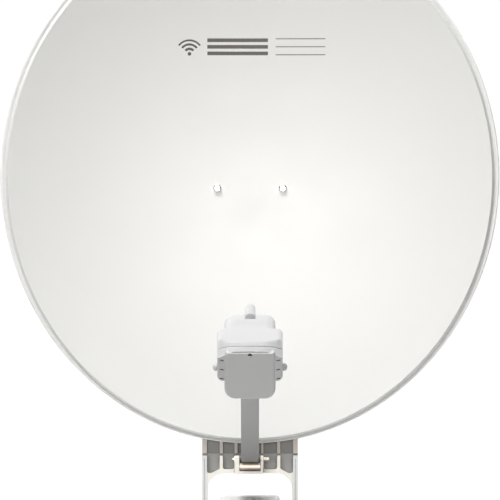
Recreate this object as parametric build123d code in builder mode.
from build123d import *
import math
import os

os.makedirs("parts", exist_ok=True)

# Millimetres. Z up, X to the right, Y towards the back; the reflector faces -Y.
# The origin is the centre of the base plate's underside, on the azimuth axis.

# ---- Reflector ----
dish_half_width = 425.0
rim_width = 12.5
aperture_radius = dish_half_width - rim_width
offset_tilt = 21.0
vertex_gap = 27.5
skin = 1.5
dish_bottom = 268.6
rim_front = -8.0
rim_step = 6.0
rim_crest = 6.0
hem_depth = 4.0

# ---- Elevation shaft and lift frame ----
shaft_height = 130.0
shaft_radius = 10.0
leg_outer = 81.6
leg_thickness = 10.0
leg_inner = leg_outer - leg_thickness
shaft_half_length = leg_outer + 1.0
leg_hub_radius = 24.0
frame_front = -14.0
frame_back = 22.0
web = 4.0
frame_top = dish_bottom - 20.4
arch_top = dish_bottom - 50.3
arch_corner = 26.0
bracket_bottom = dish_bottom - 17.0
bracket_front = 3.5
bracket_top = dish_bottom + 470.0
dish_bolt_x = 56.0
dish_bolt_height = dish_bottom + 435.4
dish_bolt_radius = 4.0
pad_height = dish_bottom + 62.0
lap_top = dish_bottom + 8.0
lap_screw = dish_bottom - 5.0
back_gap = 4.0
bracket_depth = 96.0

# ---- Hinge of the feed arm ----
hinge_y = -20.0
hinge_height = dish_bottom - 26.4
pin_radius = 3.0
ear_inner = 18.1
ear_left = 26.4
ear_right = 22.8
ear_front = -53.0
channel_floor = dish_bottom - 46.0
stop_y = -45.0
stop_radius = 6.85
stop_pin_radius = 3.0
bush_radius = 5.0
arm_width = 30.0
arm_depth = 20.0
arm_wall = 1.6
arm_start = 10.0
foot_length = 46.0
arm_landing = 40.32

# ---- Feed casing ----
feed_tilt = 22.0
casing_width = 83.0
casing_height = 94.5
casing_length = 133.0
casing_corner = 17.0
casing_wall = 2.5
bevel_length = 20.0
bevel_height = 11.5
hood_length = 71.5
hood_width = 106.0
hood_bottom = 29.0
hood_skin = 3.2
hood_split = casing_height - 5.8
seal_width = 1.5
horn_reach = 17.0
horn_radius = 28.0
neck_radius = 13.0
skew_module = 1.0
skew_gear_teeth = 48
skew_pinion_teeth = 12
boot_radius = 8.85
boot_start = 110.3
boot_end = 152.0
side_screw_station = 30.0
side_screw_height = 40.7

# ---- Drive housing and turntable ----
drum_radius = 50.0
housing_half_width = 51.0
housing_wall = 3.0
housing_rear = 80.0
housing_corner = 8.0
turntable_radius = 90.0
turntable_low = 44.0
turntable_top = 50.0
cover_radius = 94.0
cover_top = 74.0
cover_wall = 2.5
gear_module = 1.5
sun_teeth = 60
pinion_teeth = 15
shaft_gear_teeth = 48
shaft_pinion_teeth = 12

# ---- Base ----
plate_radius = 118.0
plate_thickness = 6.0
bolt_circle = 107.0
bolt_count = 6
bolt_hole_radius = 4.5
pedestal_radius = 68.0
duct_radius = 24.0
bearing_low = 14.0
bearing_high = 28.0
inner_ring_bore = 56.0
ball_circle = 70.0
ball_radius = 4.0
ball_gap = 0.3
ball_count = 28
sun_low = 31.0
sun_high = 39.0

# ---- Fits ----
running = 0.05
loose = 0.5
stop_gap = 0.1

tilt = math.radians(offset_tilt)
focal = (vertex_gap + aperture_radius) / (2 * math.tan(tilt))
dish_middle = dish_bottom + dish_half_width / math.cos(tilt)
edge_height = dish_middle - aperture_radius / math.cos(tilt)
vertex_rise = vertex_gap ** 2 / (4 * focal)
vertex_y = rim_front - vertex_gap * math.sin(tilt) + vertex_rise * math.cos(tilt)
vertex_z = edge_height - vertex_gap * math.cos(tilt) - vertex_rise * math.sin(tilt)
vertex = Vector(0, vertex_y, vertex_z)
boresight = Vector(0, -math.cos(tilt), math.sin(tilt))
focus = vertex + boresight * focal

lean = math.radians(feed_tilt)
feed_axis = Vector(0, math.cos(lean), math.sin(lean))
feed_up = Vector(0, -math.sin(lean), math.cos(lean))
core_height = casing_height / 2
phase_setback = 23.0
casing_origin = focus - feed_axis * (casing_length + phase_setback) - feed_up * core_height

arm_target = casing_origin + feed_axis * arm_landing
climb = math.atan2(arm_target.Z - hinge_height, hinge_y - arm_target.Y)
arm_slope = math.degrees(climb)
arm_axis = Vector(0, -math.cos(climb), math.sin(climb))
arm_up = Vector(0, math.sin(climb), math.cos(climb))
hinge = Vector(0, hinge_y, hinge_height)
stop_drop = (arm_depth / 2 + stop_radius + stop_gap - (hinge_y - stop_y) * math.sin(climb)) / math.cos(climb)
stop_height = hinge_height - stop_drop


def surface_y(x, z):
    """Y of the reflecting surface at a given X and height."""
    bend = math.sin(tilt) / (4 * focal)
    rest = bend * x ** 2 - (z - vertex_z)
    reach = (math.sqrt(math.cos(tilt) ** 2 - 4 * bend * rest) - math.cos(tilt)) / (2 * bend)
    rise = (x ** 2 + reach ** 2) / (4 * focal)
    return vertex_y + reach * math.sin(tilt) - rise * math.cos(tilt)


def feed_plane(station):
    """Plane across the feed casing: local X is X, local Y is height above its floor."""
    return Plane(origin=casing_origin + feed_axis * station, x_dir=(1, 0, 0), z_dir=feed_axis * -1)


def arm_plane(station):
    """Plane across the feed arm at a distance from the hinge pin."""
    return Plane(origin=hinge + arm_axis * station, x_dir=(1, 0, 0), z_dir=arm_axis)


def block(x_range, y_range, z_range, mode=Mode.ADD):
    """Rectangular block between two values on each axis."""
    with BuildSketch(Plane.XY.offset(z_range[0])) as outline:
        with Locations(((x_range[0] + x_range[1]) / 2, (y_range[0] + y_range[1]) / 2)):
            Rectangle(x_range[1] - x_range[0], y_range[1] - y_range[0])
    extrude(outline.sketch, amount=z_range[1] - z_range[0], mode=mode)


def post(x, y, low, high, radius, mode=Mode.ADD):
    """Upright cylinder."""
    with BuildSketch(Plane.XY.offset(low)) as outline:
        with Locations((x, y)):
            Circle(radius)
    extrude(outline.sketch, amount=high - low, mode=mode)


def rod(left, right, y, z, radius, mode=Mode.ADD):
    """Cylinder along X."""
    with BuildSketch(Plane.YZ.offset(left)) as outline:
        with Locations((y, z)):
            Circle(radius)
    extrude(outline.sketch, amount=right - left, mode=mode)


def stud(x, z, front, back, radius, mode=Mode.ADD):
    """Cylinder along Y."""
    with BuildSketch(Plane.XZ.offset(-back)) as outline:
        with Locations((x, z)):
            Circle(radius)
    extrude(outline.sketch, amount=back - front, mode=mode)


def feed_rod(x, height, near, far, radius, mode=Mode.ADD):
    """Cylinder along the feed axis between two stations."""
    with BuildSketch(feed_plane(near)) as outline:
        with Locations((x, height)):
            Circle(radius)
    extrude(outline.sketch, amount=near - far, mode=mode)


def feed_box(width, height_range, near, far, corner, mode=Mode.ADD):
    """Rounded box along the feed axis, centred on X."""
    with BuildSketch(feed_plane(near)) as outline:
        with Locations((0, (height_range[0] + height_range[1]) / 2)):
            RectangleRounded(width, height_range[1] - height_range[0], corner)
    extrude(outline.sketch, amount=near - far, mode=mode)


def gear(plane, centre, teeth, module, width, first_angle, bore):
    """Spur gear with involute flanks at a pressure angle of 20 degrees and a little backlash."""
    pressure = math.radians(20.0)
    pitch = teeth * module / 2
    base = pitch * math.cos(pressure)
    root = pitch - 1.25 * module
    tip = pitch + 0.85 * module
    half = math.pi / (2 * teeth) - 0.06 * module / pitch + math.tan(pressure) - pressure
    start = max(base, root)
    flank = []
    for index in range(5):
        radius = start + (tip - start) * index / 4
        roll = math.acos(base / max(radius, base))
        angle = half - (math.tan(roll) - roll)
        flank.append((radius * math.cos(angle), radius * math.sin(angle)))
    foot = (root - 0.3 * module, (root - 0.3 * module) * math.tan(half * 0.9))
    upper = [foot] + flank
    lower = [(x, -y) for x, y in upper]
    with BuildSketch(plane) as outline:
        with Locations(centre):
            Circle(root)
            with PolarLocations(0, teeth, start_angle=first_angle):
                Polygon(*lower, *reversed(upper), align=None)
            Circle(bore, mode=Mode.SUBTRACT)
    extrude(outline.sketch, amount=width)


def save(builder, name):
    """Label a part and write its file."""
    builder.part.label = name
    export_step(builder.part, "parts/" + name + ".step")


# ================= Base =================
with BuildPart() as base_plate:
    post(0, 0, 0, plate_thickness, plate_radius)
    chamfer(base_plate.edges().group_by(Axis.Z)[-1], 1.0)
    with BuildSketch(Plane.XY):
        with PolarLocations(bolt_circle, bolt_count, start_angle=30):
            Circle(bolt_hole_radius)
    extrude(amount=plate_thickness, mode=Mode.SUBTRACT)
    post(0, 0, 0, plate_thickness, 10.0, Mode.SUBTRACT)
    with BuildSketch(Plane.XY):
        with PolarLocations(38, 6):
            Circle(2.5)
    extrude(amount=plate_thickness, mode=Mode.SUBTRACT)
    with BuildSketch(Plane.XY):
        with PolarLocations(38, 6):
            Circle(5.2)
    extrude(amount=3.0, mode=Mode.SUBTRACT)
save(base_plate, "base_plate")

with BuildPart() as base_pedestal:
    with BuildSketch(Plane.XZ):
        with BuildLine():
            Polyline(
                (duct_radius, plate_thickness),
                (pedestal_radius, plate_thickness),
                (pedestal_radius, bearing_low - 1.5),
                (pedestal_radius - 6.0, bearing_low),
                (inner_ring_bore, bearing_low),
                (inner_ring_bore, bearing_high),
                (duct_radius, bearing_high),
                (duct_radius, plate_thickness),
            )
        make_face()
    revolve(axis=Axis.Z)
    with BuildSketch(Plane.XY.offset(plate_thickness)):
        with PolarLocations(38, 6):
            Circle(2.6)
    extrude(amount=bearing_high - plate_thickness, mode=Mode.SUBTRACT)
save(base_pedestal, "base_pedestal")

with BuildPart() as pedestal_screws:
    with BuildSketch(Plane.XY.offset(0.3)):
        with PolarLocations(38, 6):
            Circle(4.6)
    extrude(amount=2.7)
    with BuildSketch(Plane.XY.offset(3.0)):
        with PolarLocations(38, 6):
            Circle(2.45)
    extrude(amount=sun_high - 6.0)
    with BuildSketch(Plane.XY.offset(0.3)):
        with PolarLocations(38, 6):
            RegularPolygon(2.0, 6)
    extrude(amount=1.6, mode=Mode.SUBTRACT)
save(pedestal_screws, "pedestal_screws")

with BuildPart() as slew_inner_ring:
    with BuildSketch(Plane.XZ):
        with Locations(((inner_ring_bore + ball_circle) / 2 - 1.0, (bearing_low + bearing_high) / 2)):
            Rectangle(ball_circle - inner_ring_bore - 2.0, bearing_high - bearing_low)
        with Locations((ball_circle, (bearing_low + bearing_high) / 2)):
            Circle(ball_radius + running, mode=Mode.SUBTRACT)
    revolve(axis=Axis.Z)
save(slew_inner_ring, "slew_inner_ring")

with BuildPart() as slew_balls:
    with PolarLocations(ball_circle, ball_count):
        with Locations((0, 0, (bearing_low + bearing_high) / 2)):
            Sphere(ball_radius)
save(slew_balls, "slew_balls")

with BuildPart() as azimuth_sun_gear:
    post(0, 0, bearing_high, sun_low, 60.0)
    gear(Plane.XY.offset(sun_low), (0, 0), sun_teeth, gear_module, sun_high - sun_low, 0, duct_radius)
    post(0, 0, bearing_high, sun_low, duct_radius, Mode.SUBTRACT)
    with BuildSketch(Plane.XY.offset(bearing_high)):
        with PolarLocations(38, 6):
            Circle(2.5)
    extrude(amount=sun_high - bearing_high - 2.0, mode=Mode.SUBTRACT)
save(azimuth_sun_gear, "azimuth_sun_gear")

with BuildPart() as cable_gland:
    post(0, 0, 0.5, plate_thickness, 9.9)
    with BuildSketch(Plane.XY.offset(plate_thickness)):
        RegularPolygon(14.0, 6)
    extrude(amount=6.0)
    post(0, 0, plate_thickness + 6.0, plate_thickness + 15.0, 10.0)
    fillet(cable_gland.edges().group_by(Axis.Z)[-1], 3.0)
    post(0, 0, 0.5, plate_thickness + 15.0, 5.5, Mode.SUBTRACT)
save(cable_gland, "cable_gland")

# ================= Turntable =================
ring_inner = ball_circle + 2.0
ring_outer = 84.0
with BuildPart() as slew_outer_ring:
    with BuildSketch(Plane.XZ):
        with Locations(((ring_inner + ring_outer) / 2, (bearing_low + bearing_high) / 2)):
            Rectangle(ring_outer - ring_inner, bearing_high - bearing_low)
        with Locations((ball_circle, (bearing_low + bearing_high) / 2)):
            Circle(ball_radius + ball_gap, mode=Mode.SUBTRACT)
    revolve(axis=Axis.Z)
    with BuildSketch(Plane.XY.offset(bearing_low)):
        with PolarLocations(79.5, 8):
            Circle(2.1)
    extrude(amount=bearing_high - bearing_low, mode=Mode.SUBTRACT)
    with BuildSketch(Plane.XY.offset(bearing_low)):
        with PolarLocations(79.5, 8):
            Circle(3.8)
    extrude(amount=4.4, mode=Mode.SUBTRACT)
save(slew_outer_ring, "slew_outer_ring")

with BuildPart() as ring_screws:
    with BuildSketch(Plane.XY.offset(bearing_low + 0.3)):
        with PolarLocations(79.5, 8):
            Circle(3.5)
    extrude(amount=4.1)
    with BuildSketch(Plane.XY.offset(bearing_low + 4.4)):
        with PolarLocations(79.5, 8):
            Circle(1.95)
    extrude(amount=17.0)
    with BuildSketch(Plane.XY.offset(bearing_low + 0.3)):
        with PolarLocations(79.5, 8):
            RegularPolygon(1.7, 6)
    extrude(amount=2.0, mode=Mode.SUBTRACT)
save(ring_screws, "ring_screws")

pinion_pitch = gear_module * pinion_teeth / 2
azimuth_distance = gear_module * (sun_teeth + pinion_teeth) / 2
with BuildPart() as turntable_disc:
    with BuildSketch(Plane.XZ):
        with BuildLine():
            Polyline(
                (duct_radius, turntable_low),
                (74.0, turntable_low),
                (74.0, bearing_high),
                (ring_outer, bearing_high),
                (ring_outer, 10.0),
                (turntable_radius - 2.0, 10.0),
                (turntable_radius, 12.0),
                (turntable_radius, turntable_top),
                (duct_radius, turntable_top),
                (duct_radius, turntable_low),
            )
        make_face()
    revolve(axis=Axis.Z)
    with BuildSketch(Plane.XY.offset(turntable_top)):
        with Locations((-72.0, 0), (72.0, 0)):
            Circle(5.0)
    extrude(amount=cover_top - cover_wall - turntable_top)
    with BuildSketch(Plane.XY.offset(cover_top - cover_wall)):
        with Locations((-72.0, 0), (72.0, 0)):
            Circle(2.0)
    extrude(amount=-9.0, mode=Mode.SUBTRACT)
    post(0, azimuth_distance, turntable_low, turntable_top, 8.0, Mode.SUBTRACT)
    with BuildSketch(Plane.XY.offset(bearing_high)):
        with PolarLocations(79.5, 8):
            Circle(2.0)
    extrude(amount=9.0, mode=Mode.SUBTRACT)
save(turntable_disc, "turntable_disc")

cover_opening = housing_half_width + loose
with BuildPart() as turntable_cover:
    with BuildSketch(Plane.XZ):
        with BuildLine():
            Polyline(
                (turntable_radius + 0.1, turntable_low - 8.0),
                (cover_radius, turntable_low - 8.0),
                (cover_radius + 0.5, turntable_low - 6.0),
                (cover_radius, turntable_low),
                (cover_radius - 1.0, cover_top - 10.0),
            )
            RadiusArc((cover_radius - 1.0, cover_top - 10.0), (cover_radius - 14.0, cover_top), -13.0)
            Polyline(
                (cover_radius - 14.0, cover_top),
                (10.0, cover_top),
                (10.0, cover_top - cover_wall),
                (cover_radius - 15.0, cover_top - cover_wall),
                (turntable_radius + 0.1, cover_top - 14.0),
                (turntable_radius + 0.1, turntable_low - 8.0),
            )
        make_face()
    revolve(axis=Axis.Z)
    block((-cover_opening, cover_opening), (-drum_radius - 2.0 - loose, housing_rear + loose),
          (cover_top - 20.0, cover_top + 2.0), Mode.SUBTRACT)
    with BuildSketch(Plane.XY.offset(cover_top - 8.0)):
        with Locations((-72.0, 0), (72.0, 0)):
            Circle(2.2)
    extrude(amount=9.0, mode=Mode.SUBTRACT)
save(turntable_cover, "turntable_cover")

with BuildPart() as cover_screws:
    with BuildSketch(Plane.XY.offset(cover_top)):
        with Locations((-72.0, 0), (72.0, 0)):
            Circle(4.0)
    extrude(amount=2.4)
    fillet(cover_screws.edges().group_by(Axis.Z)[-1], 1.2)
    with BuildSketch(Plane.XY.offset(cover_top)):
        with Locations((-72.0, 0), (72.0, 0)):
            Circle(1.95)
    extrude(amount=-cover_wall - 8.0)
    with BuildSketch(Plane.XY.offset(cover_top + 2.4)):
        with Locations((-72.0, 0), (72.0, 0)):
            RegularPolygon(1.6, 6)
    extrude(amount=-1.5, mode=Mode.SUBTRACT)
save(cover_screws, "cover_screws")


def housing_profile(inset):
    """Side outline of the drive housing, drawn smaller by an inset."""
    Circle(drum_radius - inset)
    with Locations(((housing_rear - drum_radius - 2.0) / 2, (turntable_top + 112.0) / 2 - shaft_height)):
        RectangleRounded(
            housing_rear + drum_radius + 2.0 - 2 * inset,
            112.0 - turntable_top - 2 * inset,
            10.0 - inset,
        )


def housing_half(side):
    """Half of the drive housing with its bearing boss."""
    with BuildSketch(Plane.YZ) as outline:
        with Locations((0, shaft_height)):
            housing_profile(0)
    extrude(outline.sketch, amount=side * housing_half_width)
    outer = faces().sort_by(Axis.X)[-1 if side > 0 else 0]
    fillet(outer.edges(), housing_corner)
    with BuildSketch(Plane.YZ) as cavity:
        with Locations((0, shaft_height)):
            housing_profile(housing_wall)
    extrude(cavity.sketch, amount=side * (housing_half_width - housing_wall), mode=Mode.SUBTRACT)
    inside = housing_half_width - housing_wall
    block((min(0, side * inside), max(0, side * inside)),
          (-drum_radius - 2.0 + housing_wall, housing_rear - housing_wall),
          (turntable_top, turntable_top + 12.0), Mode.SUBTRACT)
    near = min(side * 36.0, side * 60.0)
    far = max(side * 36.0, side * 60.0)
    rod(near, far, 0, shaft_height, 21.0)
    rod(near, far, 0, shaft_height, 16.0, Mode.SUBTRACT)
    for y in (-44.5, 72.5):
        post(side * 32.0, y, turntable_top, turntable_top + 8.0, 6.0)
        post(side * 32.0, y, turntable_top, turntable_top + 8.0, 2.1, Mode.SUBTRACT)


with BuildPart() as drive_housing_left:
    housing_half(-1)
save(drive_housing_left, "drive_housing_left")

with BuildPart() as drive_housing_right:
    housing_half(1)
save(drive_housing_right, "drive_housing_right")

with BuildPart() as housing_screws:
    for x in (-32.0, 32.0):
        for y in (-44.5, 72.5):
            post(x, y, turntable_top + 8.0, turntable_top + 11.5, 3.8)
            post(x, y, turntable_top, turntable_top + 8.0, 2.0)
save(housing_screws, "housing_screws")

with BuildPart() as shaft_bearings:
    for left, right in ((-52.0, -40.0), (40.0, 52.0)):
        rod(left, right, 0, shaft_height, 16.0)
        rod(left, right, 0, shaft_height, shaft_radius + running, Mode.SUBTRACT)
save(shaft_bearings, "shaft_bearings")

with BuildPart() as shaft_seals:
    for left, right in ((-59.0, -53.0), (53.0, 59.0)):
        rod(left, right, 0, shaft_height, 16.0)
        rod(left, right, 0, shaft_height, shaft_radius + running, Mode.SUBTRACT)
save(shaft_seals, "shaft_seals")

with BuildPart() as azimuth_motor:
    post(0, azimuth_distance, turntable_top, turntable_top + 16.0, 18.0)
    post(0, azimuth_distance, turntable_top + 16.0, turntable_top + 52.0, 16.0)
    fillet(azimuth_motor.edges().group_by(Axis.Z)[-1], 2.0)
    post(0, azimuth_distance, turntable_top + 52.0, turntable_top + 56.0, 5.0)
    post(0, azimuth_distance, turntable_low + 1.0, turntable_top, 7.9)
    post(0, azimuth_distance, turntable_low + 1.0, turntable_top + 16.0, 4.0 + running, Mode.SUBTRACT)
save(azimuth_motor, "azimuth_motor")

with BuildPart() as azimuth_pinion:
    gear(Plane.XY.offset(sun_low + 0.5), (0, azimuth_distance), pinion_teeth, gear_module,
         sun_high - sun_low - 0.5, 90, 1.0)
    post(0, azimuth_distance, sun_low + 0.5, turntable_top + 15.0, 4.0)
save(azimuth_pinion, "azimuth_pinion")

shaft_distance = gear_module * (shaft_gear_teeth + shaft_pinion_teeth) / 2
drive_height = shaft_height - shaft_distance
with BuildPart() as elevation_motor:
    rod(8.0, 42.0, 0, drive_height, 16.0)
    fillet(elevation_motor.edges().group_by(Axis.X)[-1], 2.0)
    rod(-12.0, 8.0, 0, drive_height, 18.0)
    rod(42.0, 45.5, 0, drive_height, 5.0)
    block((-12.0, 8.0), (-18.0, 18.0), (turntable_top, drive_height - 12.0))
    rod(-12.0, 8.0, 0, drive_height, 4.0 + running, Mode.SUBTRACT)
save(elevation_motor, "elevation_motor")

with BuildPart() as elevation_pinion:
    gear(Plane.YZ.offset(-31.0), (0, drive_height), shaft_pinion_teeth, gear_module, 11.0, 15, 1.0)
    rod(-31.0, 7.0, 0, drive_height, 4.0)
save(elevation_pinion, "elevation_pinion")

with BuildPart() as control_board:
    block((-26.0, 26.0), (-46.0, -44.4), (turntable_top + 9.0, turntable_top + 46.0))
    block((-20.0, -6.0), (-44.4, -41.4), (turntable_top + 18.0, turntable_top + 32.0))
    block((4.0, 24.0), (-44.4, -38.4), (turntable_top + 12.0, turntable_top + 20.0))
    for x in (-20.0, 20.0):
        block((x - 3.0, x + 3.0), (-49.0, -43.0), (turntable_top, turntable_top + 9.0))
save(control_board, "control_board")

# ================= Lift frame =================
with BuildPart() as elevation_shaft:
    rod(-shaft_half_length, shaft_half_length, 0, shaft_height, shaft_radius)
    for left, right in ((-shaft_half_length, -shaft_half_length + 16.0),
                        (shaft_half_length - 16.0, shaft_half_length)):
        rod(left, right, 0, shaft_height, 3.0, Mode.SUBTRACT)
save(elevation_shaft, "elevation_shaft")

with BuildPart() as elevation_gear:
    gear(Plane.YZ.offset(-30.0), (0, shaft_height), shaft_gear_teeth, gear_module, 9.0, 0, shaft_radius)
    rod(-36.0, -21.0, 0, shaft_height, 16.0)
    rod(-36.0, -21.0, 0, shaft_height, shaft_radius, Mode.SUBTRACT)
save(elevation_gear, "elevation_gear")


def pocket(points, corner):
    """Cut a recess into the front of the lift frame, leaving the web behind."""
    with BuildSketch(Plane.XZ.offset(-(frame_back - web))) as outline:
        with BuildLine():
            Polyline(*points, points[0])
        make_face()
        fillet(outline.vertices().filter_by(lambda corner_point: corner_point.Z < frame_top), corner)
    extrude(outline.sketch, amount=60.0, mode=Mode.SUBTRACT)


with BuildPart() as lift_frame:
    with BuildSketch(Plane.XZ.offset(-frame_back)):
        with Locations((0, (200.0 + frame_top) / 2)):
            Rectangle(2 * leg_outer, frame_top - 200.0)
        with BuildSketch(mode=Mode.SUBTRACT) as arch:
            with Locations((0, (arch_top + 150.0) / 2)):
                RectangleRounded(2 * leg_inner, arch_top - 150.0, arch_corner)
    extrude(amount=frame_back - frame_front)
    for side in (-1, 1):
        start = min(side * leg_inner, side * leg_outer)
        with BuildSketch(Plane.YZ.offset(start)) as leg:
            with Locations((0, shaft_height)):
                Circle(leg_hub_radius)
            with Locations(((frame_front + frame_back) / 2, (shaft_height + 205.0) / 2)):
                Rectangle(frame_back - frame_front, 205.0 - shaft_height)
        extrude(leg.sketch, amount=leg_outer - leg_inner)
        hub_start = min(side * 60.5, side * leg_inner)
        rod(hub_start, hub_start + leg_inner - 60.5, 0, shaft_height, 19.0)
        near = min(side * 60.5, side * leg_outer)
        rod(near, near + leg_outer - 60.5, 0, shaft_height, shaft_radius, Mode.SUBTRACT)
    block((-leg_outer, leg_outer), (frame_back - web, frame_back), (frame_top, lap_top))
    for side in (-1, 1):
        inner_end = 24.0 if side > 0 else ear_left + 0.5
        pocket(
            [
                (side * inner_end, frame_top + 5.0),
                (side * inner_end, dish_bottom - 43.5),
                (side * 46.2, dish_bottom - 43.5),
                (side * 46.2, frame_top + 5.0),
            ],
            3.5,
        )
        pocket(
            [
                (side * 51.7, frame_top + 5.0),
                (side * 51.7, dish_bottom - 42.5),
                (side * 65.0, dish_bottom - 50.0),
                (side * 73.3, dish_bottom - 50.0),
                (side * 73.3, frame_top + 5.0),
            ],
            3.5,
        )
        groove = min(side * 76.8, side * 78.0)
        block((groove, groove + 1.2), (frame_front, frame_front + 1.5), (150.0, frame_top - 6.0), Mode.SUBTRACT)
    block((-ear_left - 0.5, 24.0), (frame_front - 5.0, frame_back - web), (arch_top - 1.0, frame_top + 1.0), Mode.SUBTRACT)
    for x in (-22.0, 20.5):
        stud(x, channel_floor - 2.1 + 12.0, frame_back - web, frame_back, 2.1, Mode.SUBTRACT)
    for x in (-76.0, -49.0, 49.0, 76.0):
        stud(x, lap_screw, frame_back - web, frame_back, 2.6, Mode.SUBTRACT)
save(lift_frame, "lift_frame")

with BuildPart() as hinge_bracket:
    with BuildSketch(Plane.XZ.offset(-(frame_back - web))):
        with Locations(((ear_right - ear_left) / 2, (arch_top + frame_top) / 2)):
            Rectangle(ear_left + ear_right, frame_top - arch_top)
        with Locations((0, (channel_floor + frame_top + 10.0) / 2)):
            Rectangle(2 * ear_inner, frame_top + 10.0 - channel_floor, mode=Mode.SUBTRACT)
    extrude(amount=frame_back - web - ear_front)
    block((-ear_inner, ear_inner), (6.0, frame_back - web), (channel_floor, frame_top - 1.0))
    front_edges = hinge_bracket.edges().filter_by(Axis.X).group_by(Axis.Y)[0]
    fillet(front_edges.group_by(Axis.Z)[-1], 6.0)
    rod(-ear_left, ear_right, hinge_y, hinge_height, pin_radius, Mode.SUBTRACT)
    rod(-ear_left + 3.0, ear_right - 2.0, stop_y, stop_height, stop_pin_radius, Mode.SUBTRACT)
    for x in (-22.0, 20.5):
        stud(x, channel_floor - 2.1 + 12.0, 2.0, frame_back - web, 1.7, Mode.SUBTRACT)
save(hinge_bracket, "hinge_bracket")

with BuildPart() as hinge_bracket_screws:
    for x in (-22.0, 20.5):
        stud(x, channel_floor - 2.1 + 12.0, frame_back, frame_back + 3.0, 3.6)
        stud(x, channel_floor - 2.1 + 12.0, 4.0, frame_back, 1.7)
save(hinge_bracket_screws, "hinge_bracket_screws")

with BuildPart() as hinge_pin:
    rod(-ear_left - 1.3, ear_right + 3.4, hinge_y, hinge_height, pin_radius)
    rod(ear_right, ear_right + 3.4, hinge_y, hinge_height, 3.9)
    rod(ear_right + 3.4, ear_right + 10.4, hinge_y, hinge_height, 3.9)
    fillet(hinge_pin.edges().group_by(Axis.X)[-1], 1.2)
    rod(-ear_left - 4.3, -ear_left - 1.3, hinge_y, hinge_height, 2.0)
save(hinge_pin, "hinge_pin")

with BuildPart() as pin_circlip:
    rod(-ear_left - 1.2, -ear_left, hinge_y, hinge_height, 4.6)
    rod(-ear_left - 1.2, -ear_left, hinge_y, hinge_height, pin_radius, Mode.SUBTRACT)
save(pin_circlip, "pin_circlip")

with BuildPart() as stop_tube:
    rod(-ear_inner + 0.4, ear_inner - 0.4, stop_y, stop_height, stop_radius)
    rod(-ear_left + 3.0, ear_right - 2.0, stop_y, stop_height, stop_pin_radius)
save(stop_tube, "stop_tube")

with BuildPart() as fold_springs:
    for start in (-ear_inner + 0.7, ear_inner - 2.6):
        with BuildLine() as coil:
            Helix(
                pitch=0.95,
                height=1.9,
                radius=6.2,
                center=(start, hinge_y, hinge_height),
                direction=(1, 0, 0),
            )
        with BuildSketch(Plane(origin=coil.line @ 0, z_dir=coil.line % 0)):
            Circle(0.4)
        sweep(path=coil.line, is_frenet=True)
save(fold_springs, "fold_springs")

with BuildPart() as hub_screws:
    for side in (-1, 1):
        near = min(side * shaft_half_length, side * (shaft_half_length + 2.0))
        rod(near, near + 2.0, 0, shaft_height, 14.0)
        head = min(side * (shaft_half_length + 2.0), side * (shaft_half_length + 7.0))
        rod(head, head + 5.0, 0, shaft_height, 7.0)
        shank = min(side * shaft_half_length, side * (shaft_half_length - 14.0))
        rod(shank, shank + 14.0, 0, shaft_height, 3.0)
        socket = min(side * (shaft_half_length + 3.0), side * (shaft_half_length + 7.0))
        rod(socket, socket + 4.0, 0, shaft_height, 2.6, Mode.SUBTRACT)
save(hub_screws, "hub_screws")


def back_y(z):
    """Y of the dish bracket's sloping back at a given height."""
    slope = (bracket_depth - frame_back + web) / (bracket_top - lap_top)
    return frame_back - web + slope * (z - lap_top)


def rib_profile(x, height):
    """Side outline of a bracket rib that follows the back of the reflector."""
    steps = 12
    stations = [bracket_bottom + (height - bracket_bottom) * index / steps for index in range(steps + 1)]
    front = [(bracket_front, bracket_bottom)]
    for z in stations[2:]:
        front.append((max(bracket_front, surface_y(x, z) + back_gap), z))
    with BuildLine() as outline:
        Polyline(*front)
        Polyline(
            front[-1],
            (back_y(height) - web + 0.5, height),
            (frame_back - 2 * web + 0.5, lap_top),
            (frame_back - 2 * web + 0.5, bracket_bottom),
            front[0],
        )
    make_face(outline.edges())


with BuildPart() as dish_bracket:
    with BuildSketch(Plane.YZ.offset(-leg_outer)):
        with BuildLine():
            Polyline(
                (frame_back - 2 * web, bracket_bottom),
                (frame_back - web, bracket_bottom),
                (frame_back - web, lap_top),
                (back_y(bracket_top), bracket_top),
                (back_y(bracket_top) - web, bracket_top),
                (frame_back - 2 * web, lap_top),
                (frame_back - 2 * web, bracket_bottom),
            )
        make_face()
    extrude(amount=2 * leg_outer)
    for left, right, probe, height in (
        (-leg_outer, -73.3, leg_outer, bracket_top),
        (73.3, leg_outer, leg_outer, bracket_top),
        (-51.7, -46.2, 51.7, dish_bottom + 210.0),
        (46.2, 51.7, 51.7, dish_bottom + 210.0),
        (-ear_left, -ear_inner - 3.0, ear_left, dish_bottom + 90.0),
        (ear_inner + 1.0, ear_right, ear_left, dish_bottom + 90.0),
    ):
        with BuildSketch(Plane.YZ.offset(left)) as rib:
            rib_profile(probe, height)
        extrude(rib.sketch, amount=right - left)
    with BuildSketch(Plane.XZ.offset(-120.0)) as windows:
        with Locations((0, dish_bottom + 330.0)):
            RectangleRounded(92.0, 110.0, 18.0)
        with Locations((0, dish_bottom + 160.0)):
            RectangleRounded(80.0, 80.0, 18.0)
    extrude(windows.sketch, amount=200.0, mode=Mode.SUBTRACT)
    for side in (-1, 1):
        x = side * dish_bolt_x
        seat = surface_y(dish_bolt_x, dish_bolt_height) + back_gap + 1.0
        stud(x, dish_bolt_height, seat, back_y(dish_bolt_height) - 0.5, 13.0)
        stud(x, dish_bolt_height, seat, back_y(dish_bolt_height) + 4.0, dish_bolt_radius + 0.3, Mode.SUBTRACT)
        for screw_x in (49.0, 76.0):
            stud(side * screw_x, lap_screw, frame_back - 2 * web - 6.0, frame_back - web, 2.1, Mode.SUBTRACT)
save(dish_bracket, "dish_bracket")

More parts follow.
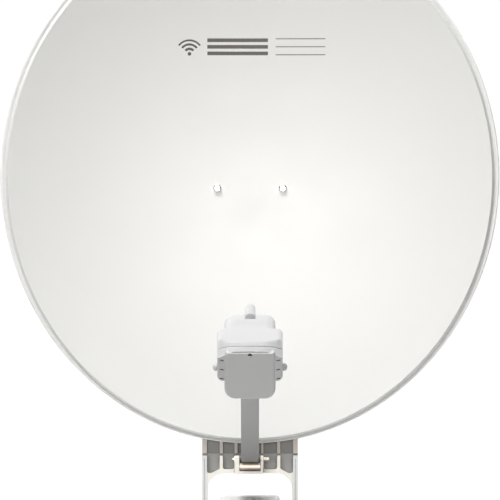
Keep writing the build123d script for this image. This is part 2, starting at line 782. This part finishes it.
with BuildPart() as bracket_screws:
    for x in (-76.0, -49.0, 49.0, 76.0):
        stud(x, lap_screw, frame_back, frame_back + 3.5, 4.2)
        stud(x, lap_screw, frame_back - 2 * web - 6.0, frame_back, 2.1)
save(bracket_screws, "bracket_screws")

with BuildPart() as dish_pads:
    for left, right in ((-80.0, -75.0), (75.0, 80.0)):
        for height in (pad_height, dish_bottom + 240.0):
            stations = [height - 12.0, height - 4.0, height + 4.0, height + 12.0]
            front = [(surface_y(75.0, z) + 1.75, z) for z in stations]
            back = [(surface_y(leg_outer, z) + back_gap - 0.3, z) for z in reversed(stations)]
            with BuildSketch(Plane.YZ.offset(left)) as strip:
                Polygon(*front, *back, align=None)
            extrude(strip.sketch, amount=right - left)
save(dish_pads, "dish_pads")


def rim_ring(outer, inner, front, back, mode=Mode.ADD):
    """Elliptical ring in the plane of the rim."""
    with BuildSketch(Plane.XZ.offset(-back)) as outline:
        with Locations((0, dish_middle)):
            Ellipse(outer, outer / math.cos(tilt))
            Ellipse(inner, inner / math.cos(tilt), mode=Mode.SUBTRACT)
    extrude(outline.sketch, amount=back - front, mode=mode)


with BuildPart() as reflector:
    reach = vertex_gap + 2 * aperture_radius + 20.0
    rise = reach ** 2 / (4 * focal)
    with BuildSketch(Plane(origin=vertex, x_dir=(0, math.sin(tilt), math.cos(tilt)), z_dir=(1, 0, 0))):
        with BuildLine():
            Bezier((0, 0), (reach / 2, 0), (reach, rise))
            Line((reach, rise), (reach, rise - skin))
            Bezier((reach, rise - skin), (reach / 2, -skin), (0, -skin))
            Line((0, -skin), (0, 0))
        make_face()
    revolve(axis=Axis(vertex, boresight))
    with BuildSketch(Plane(origin=vertex, x_dir=(1, 0, 0), z_dir=boresight).offset(-50.0)):
        with Locations((0, vertex_gap + aperture_radius)):
            Circle(aperture_radius)
    extrude(amount=600.0, mode=Mode.INTERSECT)
    crest = aperture_radius + rim_crest
    step_back = rim_front + rim_step
    rim_ring(crest, aperture_radius - 1.0, rim_front, rim_front + skin)
    rim_ring(crest, crest - skin, rim_front, step_back + skin)
    rim_ring(dish_half_width, crest - skin, step_back, step_back + skin)
    rim_ring(dish_half_width, dish_half_width - skin, step_back, step_back + hem_depth)
    for side in (-1, 1):
        stud(side * dish_bolt_x, dish_bolt_height, 0.0, 90.0, dish_bolt_radius + 0.3, Mode.SUBTRACT)
save(reflector, "reflector")

bolt_face = surface_y(dish_bolt_x + 7.2, dish_bolt_height) - 0.15
bolt_back = back_y(dish_bolt_height) - web
with BuildPart() as dish_bolts:
    for side in (-1, 1):
        stud(side * dish_bolt_x, dish_bolt_height, bolt_face - 4.4, bolt_face, 7.15)
    fillet(dish_bolts.edges().group_by(Axis.Y)[0], 3.6)
    for side in (-1, 1):
        stud(side * dish_bolt_x, dish_bolt_height, bolt_face, back_y(dish_bolt_height) + 12.0, dish_bolt_radius - 0.05)
save(dish_bolts, "dish_bolts")

with BuildPart() as dish_nuts:
    with BuildSketch(Plane.XZ.offset(-(back_y(dish_bolt_height) + 8.5))) as hexagons:
        with Locations((-dish_bolt_x, dish_bolt_height), (dish_bolt_x, dish_bolt_height)):
            RegularPolygon(7.4, 6)
            Circle(dish_bolt_radius, mode=Mode.SUBTRACT)
    extrude(hexagons.sketch, amount=7.0)
save(dish_nuts, "dish_nuts")

# ================= Feed arm =================
with BuildPart() as arm_foot:
    with BuildSketch(arm_plane(arm_start)):
        Rectangle(arm_width - 2 * arm_wall - 0.2, arm_depth - 2 * arm_wall - 0.2)
    extrude(amount=foot_length - arm_start)
    with BuildSketch(Plane.YZ.offset(-arm_width / 2 + 0.5)):
        with Locations((hinge_y, hinge_height)):
            with Locations(Location((0, 0, 0), 90 - arm_slope)):
                Circle(9.5)
    extrude(amount=arm_width - 1.0)
    with BuildSketch(arm_plane(0)):
        Rectangle(arm_width - 1.0, 15.0)
    extrude(amount=arm_start)
    rod(-arm_width / 2, arm_width / 2, hinge_y, hinge_height, bush_radius, Mode.SUBTRACT)
    for station in (22.0, 36.0):
        with BuildSketch(Plane(origin=hinge + arm_axis * station, x_dir=(1, 0, 0), z_dir=arm_up)):
            with Locations((-8.0, 0), (8.0, 0)):
                Circle(2.0)
        extrude(amount=20.0, both=True, mode=Mode.SUBTRACT)
save(arm_foot, "arm_foot")

cradle_floor = 4.0
with BuildPart() as arm_tube:
    with BuildSketch(arm_plane(arm_start)):
        RectangleRounded(arm_width, arm_depth, 2.0)
        Rectangle(arm_width - 2 * arm_wall, arm_depth - 2 * arm_wall, mode=Mode.SUBTRACT)
    extrude(amount=700.0)
    split(bisect_by=Plane(origin=casing_origin - feed_up * cradle_floor, z_dir=feed_up), keep=Keep.BOTTOM)
    for station in (22.0, 36.0):
        with BuildSketch(Plane(origin=hinge + arm_axis * station, x_dir=(1, 0, 0), z_dir=arm_up)):
            with Locations((-8.0, 0), (8.0, 0)):
                Circle(2.0)
        extrude(amount=20.0, mode=Mode.SUBTRACT)
save(arm_tube, "arm_tube")

with BuildPart() as foot_rivets:
    for station in (22.0, 36.0):
        with BuildSketch(Plane(origin=hinge + arm_axis * station + arm_up * (arm_depth / 2), x_dir=(1, 0, 0), z_dir=arm_up)):
            with Locations((-8.0, 0), (8.0, 0)):
                Circle(3.4)
        extrude(amount=1.4)
        with BuildSketch(Plane(origin=hinge + arm_axis * station + arm_up * (arm_depth / 2), x_dir=(1, 0, 0), z_dir=arm_up)):
            with Locations((-8.0, 0), (8.0, 0)):
                Circle(2.0)
        extrude(amount=-14.0)
save(foot_rivets, "foot_rivets")

with BuildPart() as hinge_bushes:
    for left, right in ((-arm_width / 2 - 0.4, -4.0), (4.0, arm_width / 2 + 0.4)):
        rod(left, right, hinge_y, hinge_height, bush_radius)
        rod(left, right, hinge_y, hinge_height, pin_radius + running, Mode.SUBTRACT)
save(hinge_bushes, "hinge_bushes")

# ================= Feed casing =================
with BuildPart() as feed_cradle:
    with BuildSketch(Plane(origin=casing_origin - feed_up * cradle_floor, x_dir=(1, 0, 0), z_dir=feed_up)):
        with Locations((0, -(-50.0))):
            RectangleRounded(66.0, 84.0, 6.0)
    extrude(amount=cradle_floor)
    with BuildSketch(Plane(origin=casing_origin + feed_axis * arm_landing, x_dir=(1, 0, 0), z_dir=arm_axis)) as socket:
        RectangleRounded(arm_width + 4.0, arm_depth + 4.0, 3.0)
        RectangleRounded(arm_width + 0.1, arm_depth + 0.1, 2.0, mode=Mode.SUBTRACT)
    extrude(socket.sketch, amount=-34.0)
    with BuildSketch(Plane(origin=casing_origin, x_dir=(1, 0, 0), z_dir=feed_up)) as above:
        Rectangle(400.0, 400.0)
    extrude(above.sketch, amount=60.0, mode=Mode.SUBTRACT)
    with BuildSketch(Plane(origin=casing_origin - feed_up * cradle_floor, x_dir=(1, 0, 0), z_dir=feed_up)) as holes:
        with Locations((-26.0, 16.0), (26.0, 16.0), (-26.0, 84.0), (26.0, 84.0)):
            Circle(2.1)
    extrude(holes.sketch, amount=cradle_floor, mode=Mode.SUBTRACT)
save(feed_cradle, "feed_cradle")

with BuildPart() as cradle_screws:
    for x in (-26.0, 26.0):
        for station in (16.0, 84.0):
            at = casing_origin + feed_axis * station - feed_up * cradle_floor
            with BuildSketch(Plane(origin=at, x_dir=(1, 0, 0), z_dir=feed_up)) as head:
                with Locations((x, 0)):
                    Circle(4.0)
            extrude(head.sketch, amount=-2.6)
            with BuildSketch(Plane(origin=at, x_dir=(1, 0, 0), z_dir=feed_up)) as shank:
                with Locations((x, 0)):
                    Circle(2.0)
            extrude(shank.sketch, amount=cradle_floor + 8.0)
save(cradle_screws, "cradle_screws")


def bevel(lift, far):
    """Cut away what stands above the slanted front band of the casing."""
    with BuildSketch(Plane(origin=casing_origin, x_dir=feed_axis, z_dir=(1, 0, 0))) as wedge:
        with BuildLine():
            Polyline(
                (-20.0, casing_height - bevel_height + lift - 20.0 * bevel_height / bevel_length),
                (far, casing_height - bevel_height + lift + far * bevel_height / bevel_length),
                (far, casing_height + 40.0),
                (-20.0, casing_height + 40.0),
                (-20.0, casing_height - bevel_height + lift - 20.0 * bevel_height / bevel_length),
            )
        make_face()
    extrude(wedge.sketch, amount=80.0, both=True, mode=Mode.SUBTRACT)


def floor_holes(stations, radius):
    """Drill the casing floor and its bosses for the cradle screws."""
    for station in stations:
        at = casing_origin + feed_axis * station
        with BuildSketch(Plane(origin=at, x_dir=(1, 0, 0), z_dir=feed_up)) as holes:
            with Locations((-26.0, 0), (26.0, 0)):
                Circle(radius)
        extrude(holes.sketch, amount=9.0, mode=Mode.SUBTRACT)


shell_top = casing_height - hood_skin
side_at = casing_origin + feed_axis * side_screw_station + feed_up * side_screw_height
front_end = hood_length - seal_width
with BuildPart() as casing_front:
    feed_box(casing_width, (0, shell_top), 0, front_end, casing_corner)
    fillet(casing_front.faces().sort_by(Axis((0, 0, 0), feed_axis))[0].edges(), 3.0)
    bevel(-hood_skin, bevel_length + 30.0)
    wall = casing_wall
    feed_box(casing_width - 2 * wall, (wall, shell_top - wall - bevel_height), wall, 24.0, casing_corner - wall, Mode.SUBTRACT)
    feed_box(casing_width - 2 * wall, (wall, shell_top - wall), 24.0, front_end, casing_corner - wall, Mode.SUBTRACT)
    at = casing_origin + feed_axis * 16.0
    with BuildSketch(Plane(origin=at, x_dir=(1, 0, 0), z_dir=feed_up)) as bosses:
        with Locations((-26.0, 0), (26.0, 0)):
            Circle(5.0)
    extrude(bosses.sketch, amount=10.0)
    floor_holes((16.0,), 2.0)
    feed_rod(0, shell_top - bevel_height - 5.5, 0, 4.0, 3.4, Mode.SUBTRACT)
    feed_rod(0, shell_top - bevel_height - 5.5, 2.0, 5.0, 4.4)
    feed_rod(0, shell_top - bevel_height - 5.5, 0, 20.0, 1.6, Mode.SUBTRACT)
    rod(-casing_width / 2 - 1.0, casing_width / 2 + 1.0, side_at.Y, side_at.Z, 3.0, Mode.SUBTRACT)
save(casing_front, "casing_front")

with BuildPart() as front_screw:
    feed_rod(0, shell_top - bevel_height - 5.5, 0.6, 2.0, 2.8)
    feed_rod(0, shell_top - bevel_height - 5.5, 2.0, 12.0, 1.55)
    feed_rod(0, shell_top - bevel_height - 5.5, 0.6, 1.4, 1.2, Mode.SUBTRACT)
save(front_screw, "front_screw")

with BuildPart() as casing_seal:
    feed_box(casing_width - 1.0, (0.5, shell_top - 0.5), front_end, hood_length, casing_corner - 0.5)
    feed_box(casing_width - 4.0, (2.0, shell_top - 2.0), front_end, hood_length, casing_corner - 2.0, Mode.SUBTRACT)
save(casing_seal, "casing_seal")

with BuildPart() as casing_rear:
    feed_box(casing_width, (0, casing_height), hood_length, casing_length, casing_corner)
    fillet(casing_rear.faces().sort_by(Axis((0, 0, 0), feed_axis))[-1].edges(), 2.4)
    feed_box(casing_width - 2 * casing_wall, (casing_wall, casing_height - casing_wall), hood_length,
             casing_length - 3.0, casing_corner - casing_wall, Mode.SUBTRACT)
    feed_rod(0, core_height, casing_length - 4.0, casing_length + 1.0, horn_radius + 2.0, Mode.SUBTRACT)
    at = casing_origin + feed_axis * 84.0
    with BuildSketch(Plane(origin=at, x_dir=(1, 0, 0), z_dir=feed_up)) as bosses:
        with Locations((-26.0, 0), (26.0, 0)):
            Circle(5.0)
    extrude(bosses.sketch, amount=10.0)
    floor_holes((84.0,), 2.0)
save(casing_rear, "casing_rear")


def hood_block():
    """Outer shape of the hood: a rounded cap over the front of the casing."""
    feed_box(hood_width, (hood_bottom, casing_height), 1.5, hood_length, 9.5)
    fillet(faces().sort_by(Axis((0, 0, 0), feed_axis))[0].edges(), 1.0)
    bevel(0, bevel_length + 30.0)
    feed_box(casing_width + 0.4, (-10.0, shell_top + 0.2 - bevel_height), -1.0, hood_length + 1.0, 3.0, Mode.SUBTRACT)
    feed_box(casing_width + 0.4, (-10.0, shell_top + 0.2), bevel_length + 1.0, hood_length + 1.0, 3.0, Mode.SUBTRACT)
    with BuildSketch(Plane(origin=casing_origin, x_dir=feed_axis, z_dir=(1, 0, 0))) as under:
        with BuildLine():
            Polyline(
                (-5.0, shell_top + 0.2 - bevel_height - 5.0 * bevel_height / bevel_length),
                (bevel_length + 2.0, shell_top + 0.2 + 2.0 * bevel_height / bevel_length),
                (bevel_length + 2.0, 0.0),
                (-5.0, 0.0),
                (-5.0, shell_top + 0.2 - bevel_height - 5.0 * bevel_height / bevel_length),
            )
        make_face()
    extrude(under.sketch, amount=casing_width / 2 + 0.2, both=True, mode=Mode.SUBTRACT)


def hood_side_cut(low, high):
    """Remove a slab of the hood between two heights above the casing floor."""
    with BuildSketch(Plane(origin=casing_origin + feed_up * low, x_dir=(1, 0, 0), z_dir=feed_up)) as slab:
        with Locations((0, 0)):
            Rectangle(400.0, 400.0)
    extrude(slab.sketch, amount=high - low, mode=Mode.SUBTRACT)


with BuildPart() as hood_upper:
    hood_block()
    hood_side_cut(hood_split - 120.0, hood_split)
save(hood_upper, "hood_upper")

with BuildPart() as hood_lower:
    hood_block()
    hood_side_cut(hood_split - 0.4, hood_split + 60.0)
    for side in (-1, 1):
        with BuildSketch(feed_plane(4.5)) as cavity:
            with Locations((side * (hood_width / 2 - 5.9), (hood_bottom + hood_split) / 2 - 2.5)):
                RectangleRounded(6.0, hood_split - hood_bottom - 12.0, 2.0)
        extrude(cavity.sketch, amount=-(hood_length - 4.5), mode=Mode.SUBTRACT)
        for height in (36.0, 54.0, 68.0):
            with BuildSketch(feed_plane(0)) as vent:
                with Locations((side * (hood_width / 2 - 5.9), height)):
                    SlotOverall(5.6, 1.4)
            extrude(vent.sketch, amount=-5.0, mode=Mode.SUBTRACT)
    rod(-hood_width / 2 - 1.0, hood_width / 2 + 1.0, side_at.Y, side_at.Z, 3.0, Mode.SUBTRACT)
save(hood_lower, "hood_lower")

with BuildPart() as side_screws:
    rod(hood_width / 2 + 0.1, hood_width / 2 + 7.6, side_at.Y, side_at.Z, 6.8)
    rod(-hood_width / 2 - 7.6, -hood_width / 2 - 0.1, side_at.Y, side_at.Z, 6.8)
    fillet(side_screws.edges().group_by(Axis.X)[-1] + side_screws.edges().group_by(Axis.X)[0], 5.6)
    rod(casing_width / 2 - 6.0, hood_width / 2 + 0.1, side_at.Y, side_at.Z, 2.9)
    rod(-hood_width / 2 - 0.1, -casing_width / 2 + 6.0, side_at.Y, side_at.Z, 2.9)
save(side_screws, "side_screws")

with BuildPart() as cable_boot:
    feed_rod(0, casing_height, boot_start, boot_end, boot_radius)
    with BuildSketch(Plane(origin=casing_origin + feed_up * casing_height, x_dir=(1, 0, 0), z_dir=feed_up)) as under:
        with Locations((0, casing_length / 2)):
            Rectangle(80.0, casing_length + 0.2)
    extrude(under.sketch, amount=-40.0, mode=Mode.SUBTRACT)
    feed_rod(0, casing_height, casing_length + 0.1, boot_end + 1.0, 5.8, Mode.SUBTRACT)
save(cable_boot, "cable_boot")

with BuildPart() as cable_connector:
    feed_rod(0, casing_height, casing_length + 0.1, casing_length + 14.0, 4.7)
    feed_rod(0, casing_height, casing_length + 0.1, casing_length + 5.0, 5.8)
    feed_rod(0, casing_height, casing_length + 8.0, casing_length + 14.0, 1.4, Mode.SUBTRACT)
save(cable_connector, "cable_connector")

motor_height = core_height + skew_module * (skew_gear_teeth + skew_pinion_teeth) / 2
with BuildPart() as skew_carrier:
    feed_box(casing_width - 2 * casing_wall - 0.4, (casing_wall + 0.2, casing_height - casing_wall - 0.2),
             104.5, 109.0, casing_corner - casing_wall)
    feed_rod(0, core_height, 104.5, 118.0, neck_radius + 6.0)
    feed_rod(0, core_height, 104.0, 119.0, neck_radius + running, Mode.SUBTRACT)
    for x in (-14.0, 14.0):
        feed_rod(x, motor_height + 2.0, 96.0, 104.5, 2.5)
    feed_rod(0, motor_height, 103.0, 110.0, 2.0, Mode.SUBTRACT)
save(skew_carrier, "skew_carrier")

with BuildPart() as skew_motor:
    feed_rod(0, motor_height, 66.0, 92.0, 10.0)
    fillet(skew_motor.faces().sort_by(Axis((0, 0, 0), feed_axis))[0].edges(), 1.0)
    feed_box(36.0, (motor_height - 9.0, motor_height + 9.0), 92.0, 96.0, 4.0)
    feed_rod(0, motor_height, 92.0, 96.0, 1.5 + running, Mode.SUBTRACT)
save(skew_motor, "skew_motor")

with BuildPart() as skew_pinion:
    gear(feed_plane(103.0), (0, motor_height), skew_pinion_teeth, skew_module, 5.5, 15, 0.8)
    feed_rod(0, motor_height, 92.5, 103.0, 1.5)
save(skew_pinion, "skew_pinion")

with BuildPart() as lnb_body:
    feed_box(44.0, (core_height - 22.0, core_height + 22.0), 14.0, 60.0, 5.0)
    feed_rod(0, core_height, 60.0, 66.0, neck_radius + 3.0)
    feed_rod(-10.0, core_height - 8.0, 6.0, 14.0, 4.7)
    feed_rod(10.0, core_height - 8.0, 6.0, 14.0, 4.7)
    feed_rod(-10.0, core_height - 8.0, 5.0, 10.0, 1.4, Mode.SUBTRACT)
    feed_rod(10.0, core_height - 8.0, 5.0, 10.0, 1.4, Mode.SUBTRACT)
save(lnb_body, "lnb_body")

with BuildPart() as feed_horn:
    with BuildSketch(Plane(origin=casing_origin + feed_up * core_height, x_dir=feed_axis, z_dir=(1, 0, 0))):
        with BuildLine():
            Polyline(
                (66.0, neck_radius - 3.0),
                (66.0, neck_radius),
                (120.0, neck_radius),
                (casing_length - 1.0, horn_radius - 3.0),
                (casing_length + horn_reach, horn_radius),
                (casing_length + horn_reach, horn_radius - 2.5),
                (casing_length, horn_radius - 5.5),
                (121.0, neck_radius - 3.0),
                (66.0, neck_radius - 3.0),
            )
        make_face()
    revolve(axis=Axis(casing_origin + feed_up * core_height, feed_axis))
save(feed_horn, "feed_horn")

with BuildPart() as horn_cap:
    feed_rod(0, core_height, casing_length + horn_reach - 6.0, casing_length + horn_reach + 2.5, horn_radius + 1.6)
    fillet(horn_cap.faces().sort_by(Axis((0, 0, 0), feed_axis))[-1].edges(), 1.5)
    feed_rod(0, core_height, casing_length + horn_reach - 6.0, casing_length + horn_reach, horn_radius + 0.1, Mode.SUBTRACT)
save(horn_cap, "horn_cap")

with BuildPart() as skew_gear:
    gear(feed_plane(103.0), (0, core_height), skew_gear_teeth, skew_module, 5.5, 0, neck_radius)
save(skew_gear, "skew_gear")
